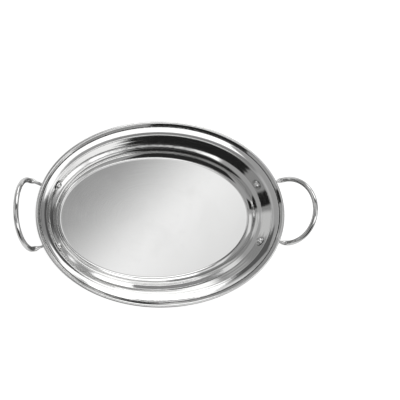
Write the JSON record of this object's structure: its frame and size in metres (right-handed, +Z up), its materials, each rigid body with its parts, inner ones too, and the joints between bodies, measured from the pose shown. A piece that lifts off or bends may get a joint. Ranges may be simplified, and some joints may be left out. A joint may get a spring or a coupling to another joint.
{
  "type": "serving tray",
  "caption": "Oval polished stainless steel serving tray with a rolled rim, a stepped wall and a riveted wire handle at each end.",
  "frame": {"origin": "centre of the flat underside, on the surface that the tray stands on", "axes": "+X along the tray's long axis towards the right handle, +Y across it towards the back, +Z up out of the open top"},
  "size_m": [0.3132, 0.19, 0.0636],
  "materials": {
    "pan_steel": "pressed stainless steel sheet, mirror polished, with a faint haze on the flat floor",
    "wire_steel": "drawn stainless steel wire, polished, with faint lines along it and forged flat ends",
    "rivet_steel": "polished stainless steel, domed head and hammered tail"
  },
  "bodies": {
    "root": {"pan": "pan_steel", "handle_right": "wire_steel", "handle_left": "wire_steel", "rivet_right_back": "rivet_steel", "rivet_right_front": "rivet_steel", "rivet_left_back": "rivet_steel", "rivet_left_front": "rivet_steel"}
  },
  "joints": []
}
